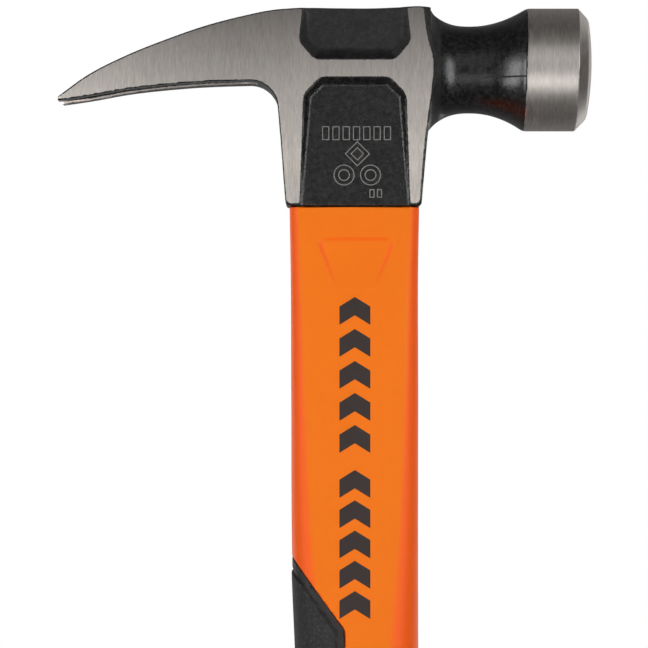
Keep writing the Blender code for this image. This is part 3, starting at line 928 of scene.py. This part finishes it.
def make_floor(radius=2.0, segments=96):
    """A pale round floor that glows by its own emission, as painted light: greyer and half bright near the
    handle, where it also takes shadows, and nearly white further off.
    """
    mesh = bpy.data.meshes.new("floor")
    shape = bmesh.new()
    bmesh.ops.create_circle(shape, cap_ends=True, radius=radius, segments=segments)
    shape.to_mesh(mesh)
    shape.free()
    obj = bpy.data.objects.new("floor", mesh)
    bpy.context.scene.collection.objects.link(obj)
    n = Nodes("pale_floor")
    x, y, _ = n.parts(n.coords)
    squared = n.math("MULTIPLY_ADD", x, x, n.math("MULTIPLY", y, y))
    far = n.ramp(n.math("SQRT", squared), 0.15, 0.60, smooth=True)
    near_grey = n.mix(n.noise(3.0), (0.42, 0.42, 0.42), (0.45, 0.45, 0.45))
    # Painted light: the floor's emission, stronger further off, stands in for light that the lamps don't
    # give there.
    n.set(
        Base_Color=n.mix(far, near_grey, (0.05, 0.05, 0.05)),
        Roughness=0.7,
        Emission_Color=(1.0, 1.0, 1.0),
        Emission_Strength=n.ramp(far, 0.0, 1.0, 0.50, 0.96),
    )
    mesh.materials.append(n.material)
    obj.visible_glossy = False
    obj.visible_diffuse = False


def add_light(name, place, aim, size, watts, reflected=True):
    """A rectangular softbox, which the glossy surfaces need not mirror."""
    data = bpy.data.lights.new(name, "AREA")
    data.shape = "RECTANGLE"
    data.size, data.size_y = size
    data.energy = watts
    obj = bpy.data.objects.new(name, data)
    obj.location = place
    obj.rotation_euler = (Vector(aim) - Vector(place)).to_track_quat("-Z", "Y").to_euler()
    obj.visible_camera = False
    obj.visible_glossy = reflected
    bpy.context.scene.collection.objects.link(obj)


def make_world():
    """Soft studio surroundings, brighter behind the object, seen as plain white past it."""
    world = bpy.data.worlds.new("studio")
    bpy.context.scene.world = world
    world.use_nodes = True
    tree = world.node_tree
    backdrop = tree.nodes["Background"]
    backdrop.inputs["Color"].default_value = (1.0, 1.0, 1.0, 1.0)
    backdrop.inputs["Strength"].default_value = 1.0
    direction = tree.nodes.new("ShaderNodeTexCoord").outputs["Generated"]
    parts = tree.nodes.new("ShaderNodeSeparateXYZ")
    tree.links.new(direction, parts.inputs[0])
    behind = tree.nodes.new("ShaderNodeMapRange")
    tree.links.new(parts.outputs["Y"], behind.inputs["Value"])
    for name, value in (("From Min", 0.0), ("From Max", 0.8), ("To Min", 0.06), ("To Max", 0.20)):
        behind.inputs[name].default_value = value
    fill = tree.nodes.new("ShaderNodeBackground")
    fill.inputs["Color"].default_value = (1.0, 1.0, 1.0, 1.0)
    tree.links.new(behind.outputs[0], fill.inputs["Strength"])
    rays = tree.nodes.new("ShaderNodeLightPath")
    mix = tree.nodes.new("ShaderNodeMixShader")
    tree.links.new(rays.outputs["Is Camera Ray"], mix.inputs["Fac"])
    tree.links.new(fill.outputs[0], mix.inputs[1])
    tree.links.new(backdrop.outputs[0], mix.inputs[2])
    tree.links.new(mix.outputs[0], tree.nodes["World Output"].inputs["Surface"])


def make_camera():
    """A long lens, level with the upper handle and square to the cheek."""
    data = bpy.data.cameras.new("camera")
    data.sensor_width = 36.0
    data.lens = 229.0
    camera = bpy.data.objects.new("camera", data)
    camera.location = (-0.0074, -1.0, 0.2581)
    camera.rotation_euler = (math.pi / 2, 0.0, 0.0)
    bpy.context.scene.collection.objects.link(camera)
    bpy.context.scene.camera = camera


make_floor()
make_world()
make_camera()
HEAD_CENTRE = (0.0, 0.0, 0.30)
add_light("left_softbox", (-0.38, -0.33, 0.26), HEAD_CENTRE, (0.15, 0.45), 1.45)
add_light("right_softbox", (0.34, -0.38, 0.26), HEAD_CENTRE, (0.15, 0.45), 1.45)
add_light("low_softbox", (0.0, -0.47, 0.10), HEAD_CENTRE, (0.45, 0.19), 0.48)
add_light("high_softbox", (0.0, -1.3, 0.85), HEAD_CENTRE, (1.3, 0.9), 2.1)
add_light("back_left_softbox", (-0.60, 0.55, 0.32), HEAD_CENTRE, (0.4, 0.6), 2.0)
add_light("back_right_softbox", (0.60, 0.55, 0.32), HEAD_CENTRE, (0.4, 0.6), 0.9)
add_light("rear_high_softbox", (0.456, 0.49, 0.62), HEAD_CENTRE, (0.25, 0.25), 0.25)
add_light("rear_low_softbox", (0.317, 0.435, 0.107), HEAD_CENTRE, (0.25, 0.20), 0.2)
add_light("rear_fill_softbox", (0.0, 0.95, 0.45), HEAD_CENTRE, (0.9, 0.6), 2.6, reflected=False)
bpy.context.scene.view_settings.view_transform = "Standard"
